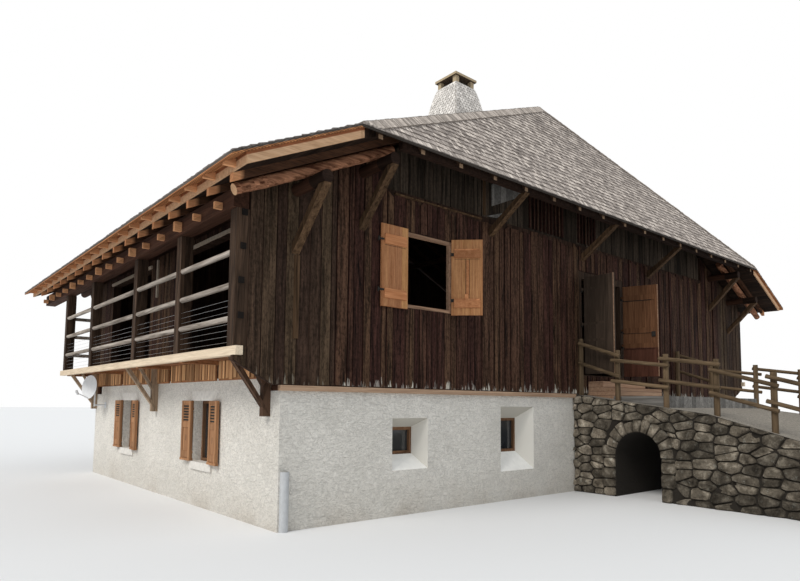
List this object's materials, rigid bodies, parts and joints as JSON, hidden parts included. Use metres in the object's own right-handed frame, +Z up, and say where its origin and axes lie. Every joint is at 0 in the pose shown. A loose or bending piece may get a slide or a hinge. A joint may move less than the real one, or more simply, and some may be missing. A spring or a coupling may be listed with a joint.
{
  "type": "alpine chalet with a half-hipped shingle roof, side galleries and a stone ramp bridge",
  "caption": "Alpine chalet: rendered masonry below, dark boarded storey with side galleries above, half-hipped shingle roof, flared chimney, stone ramp bridge to a two-leaf barn door",
  "frame": {"origin": "at ground level under the middle of the masonry", "axes": "+X along the ramp gable to the right as seen from the ramp, +Y from the ramp gable back to the far gable, +Z up"},
  "size_m": [20.2, 23.33, 11.7195],
  "materials": {
    "render": "rough cream lime render",
    "stone": "rough grey stone",
    "rubble": "dark grey-brown rubble stone",
    "tile_step": "reddish worn stone",
    "chimney_render": "weathered grey-tan render",
    "dark_boards": "old dark brown boards",
    "old_timber": "old dark timber",
    "new_timber": "pale new timber",
    "orange_timber": "stained orange-brown wood",
    "brown_timber": "brown wood",
    "grey_timber": "weathered grey wood",
    "grey_stone": "grey worn stone",
    "painted_metal": "pale grey paint",
    "fence_timber": "yellow-brown round poles",
    "shingles": "weathered grey-brown shingles",
    "pane_glass": "dark window glass",
    "iron": "black wrought iron",
    "leaf_dark": "dark grey boards",
    "leaf_brown": "natural brown boards"
  },
  "bodies": {
    "building": {"masonry_ramp_gable": "render", "masonry_sides": "render", "masonry_far_gable": "render", "window_splays": "render", "window_stones": "stone", "ground_slab": "stone", "ramp_bridge": "rubble", "ramp_steps": "tile_step", "chimney_stack": "chimney_render", "chimney_cap": "chimney_render", "gable_boards_left": "dark_boards", "gable_boards_right": "dark_boards", "gable_boards_at_door": "dark_boards", "gable_upper_boards": "dark_boards", "far_gable_boards": "dark_boards", "gallery_walls": "dark_boards", "floor_sills": "old_timber", "gallery_posts": "old_timber", "door_frame": "old_timber", "plates": "old_timber", "purlins": "old_timber", "hip_rafters": "old_timber", "gable_braces": "old_timber", "rake_logs": "old_timber", "sill_boards": "new_timber", "gallery_rim_beams": "new_timber", "big_window_frame": "new_timber", "rafters": "new_timber", "edge_boards": "new_timber", "window_shutters": "orange_timber", "gallery_skirts": "orange_timber", "big_shutters": "orange_timber", "roof_boarding_left": "orange_timber", "roof_boarding_right": "orange_timber", "eave_tails": "orange_timber", "window_frames": "brown_timber", "gallery_joists": "brown_timber", "upper_floor": "grey_timber", "gallery_decks": "grey_timber", "gallery_rails": "grey_timber", "gallery_brackets": "grey_timber", "ramp_landing": "grey_stone", "aerial_dish": "painted_metal", "corner_cover": "painted_metal", "fence_posts": "fence_timber", "fence_rails": "fence_timber", "roof_left": "shingles", "roof_right": "shingles", "hips": "shingles", "window_panes": "pane_glass", "door_pintles": "iron"},
    "left_leaf": {"door_leaf_left": "leaf_dark"},
    "right_leaf": {"door_leaf_right": "leaf_brown"}
  },
  "joints": [
    {"name": "left_leaf_hinge", "type": "hinge", "parent": "building", "child": "left_leaf", "pos_m": [-0.21, -5.474, 3], "axis": [0, 0, 1], "range_deg": [-4, 96]},
    {"name": "right_leaf_hinge", "type": "hinge", "parent": "building", "child": "right_leaf", "pos_m": [1.65, -5.474, 3], "axis": [0, 0, 1], "range_deg": [-108, 64]}
  ]
}
